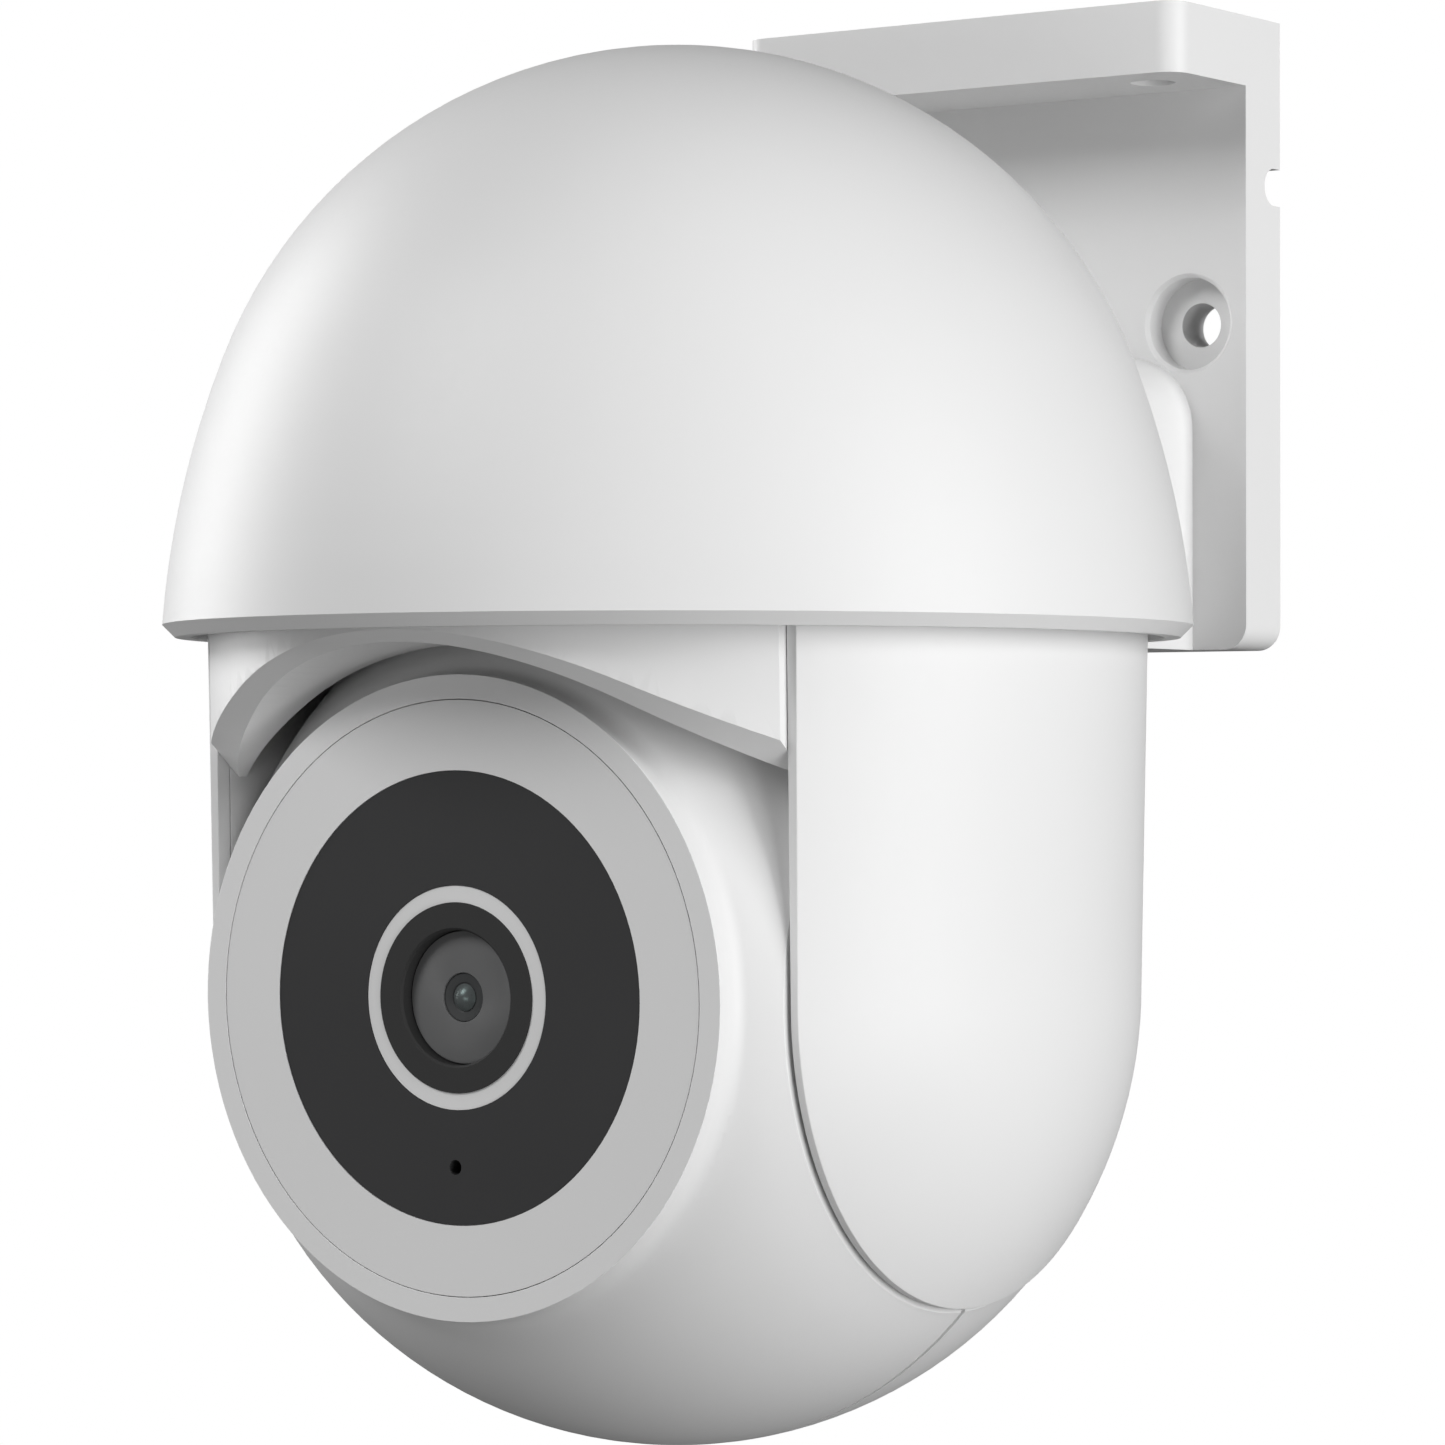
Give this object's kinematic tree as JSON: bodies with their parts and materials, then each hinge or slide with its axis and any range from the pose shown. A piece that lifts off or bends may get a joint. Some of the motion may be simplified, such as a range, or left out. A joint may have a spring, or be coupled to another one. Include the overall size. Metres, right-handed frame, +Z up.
{
  "type": "pan and tilt security camera",
  "caption": "Outdoor pan and tilt security camera: domed drive housing on an L-shaped wall or ceiling bracket, with a two-armed yoke that carries a ball-shaped camera head.",
  "frame": {"origin": "on the wall plane, midway between the bracket's two wall screws", "axes": "+Y into the wall along the wall screws, +Z up along the pan axis, +X along the tilt axis; the camera hangs towards -Y and looks along -Y at rest"},
  "size_m": [0.115, 0.1401, 0.1659],
  "materials": {
    "white_shell": "fine-grained satin white ABS",
    "inner_plastic": "grey moulded plastic",
    "face_ring": "satin white",
    "smoked_window": "smoked acrylic",
    "black_plastic": "matt black",
    "lens_glass": "coated glass",
    "rubber": "black rubber",
    "grey_rubber": "dark grey rubber",
    "screw_steel": "zinc plated",
    "bearing_steel": "ground steel",
    "turned_steel": "turned steel",
    "motor_can": "drawn steel can",
    "gear_plastic": "natural acetal",
    "circuit_board": "green solder mask",
    "copper_trace": "gold-plated copper",
    "lamp_epoxy": "clear epoxy lamp",
    "heat_sink": "anodised fins",
    "speaker_body": "paper cone in a black basket",
    "card_plastic": "black card",
    "red_button": "red moulded button",
    "filter_slide": "slide with a red-tinted filter",
    "bush_plastic": "glass-filled nylon"
  },
  "bodies": {
    "base": {"wall_bracket": "white_shell", "cable_grommet": "rubber", "dome_cover": "white_shell", "bracket_screws": "screw_steel", "chassis_plate": "inner_plastic", "chassis_screws": "screw_steel", "pan_bearing": "bearing_steel", "pan_motor": "motor_can", "power_board": "circuit_board", "deck_screws": "screw_steel", "wifi_antenna": "copper_trace"},
    "yoke": {"yoke_frame": "inner_plastic", "yoke_front": "white_shell", "yoke_rear": "white_shell", "arm_cover_left": "white_shell", "arm_cover_right": "white_shell", "yoke_screws": "screw_steel", "arm_cover_screws": "screw_steel", "pan_gear": "gear_plastic", "pan_spindle": "turned_steel", "pan_retainer": "screw_steel", "spindle_screws": "screw_steel", "trunnion_left": "turned_steel", "trunnion_right": "turned_steel", "trunnion_screws": "screw_steel", "tilt_gear": "gear_plastic"},
    "head": {"head_front": "white_shell", "head_rear": "white_shell", "head_seal": "rubber", "head_screws": "screw_steel", "tilt_bush_left": "bush_plastic", "tilt_bush_right": "bush_plastic", "face_plate": "face_ring", "ir_window": "smoked_window", "lens_ring": "face_ring", "lens_hood": "black_plastic", "lens_glass": "lens_glass", "lens_barrel": "black_plastic", "lens_holder": "black_plastic", "ir_cut_frame": "black_plastic", "sensor_board": "circuit_board", "led_board": "circuit_board", "ir_leds": "lamp_epoxy", "lens_baffle": "grey_rubber", "microphone_boot": "rubber", "main_board": "circuit_board", "heat_sink": "heat_sink", "speaker": "speaker_body", "tilt_motor": "motor_can", "board_screws": "screw_steel", "motor_bracket": "turned_steel", "tilt_motor_screws": "screw_steel", "service_cover": "white_shell", "service_cover_screws": "screw_steel", "service_board": "circuit_board", "memory_card": "card_plastic"},
    "pan_pinion": {"pan_pinion": "gear_plastic"},
    "tilt_pinion": {"tilt_pinion": "gear_plastic"},
    "ir_cut_slider": {"ir_cut_slider": "filter_slide"},
    "reset_button": {"reset_button": "red_button"}
  },
  "joints": [
    {"name": "pan", "type": "hinge", "parent": "base", "child": "yoke", "pos_m": [0, -0.0826, -0.02], "axis": [0, 0, 1], "range_deg": [-175, 175]},
    {"name": "tilt", "type": "hinge", "parent": "yoke", "child": "head", "pos_m": [0, -0.0826, -0.0782], "axis": [1, 0, 0], "range_deg": [-5, 90]},
    {"name": "pan_pinion_spin", "type": "hinge", "parent": "base", "child": "pan_pinion", "pos_m": [0.0266, -0.0826, -0.01], "axis": [0, 0, 1], "range_deg": [-660, 660]},
    {"name": "tilt_pinion_spin", "type": "hinge", "parent": "head", "child": "tilt_pinion", "pos_m": [0.029, -0.0637, -0.0782], "axis": [1, 0, 0], "range_deg": [-15, 258]},
    {"name": "ir_cut_slide", "type": "slide", "parent": "head", "child": "ir_cut_slider", "axis": [1, 0, 0], "range_m": [0, 0.0062]},
    {"name": "reset_press", "type": "slide", "parent": "head", "child": "reset_button", "axis": [0, 0, 1], "range_m": [0, 0.0008], "stiffness_N_per_m": 400}
  ],
  "couplings": [
    {"joint": "pan_pinion_spin", "follows": "pan", "ratio": -3.75},
    {"joint": "tilt_pinion_spin", "follows": "tilt", "ratio": 2.8571}
  ]
}
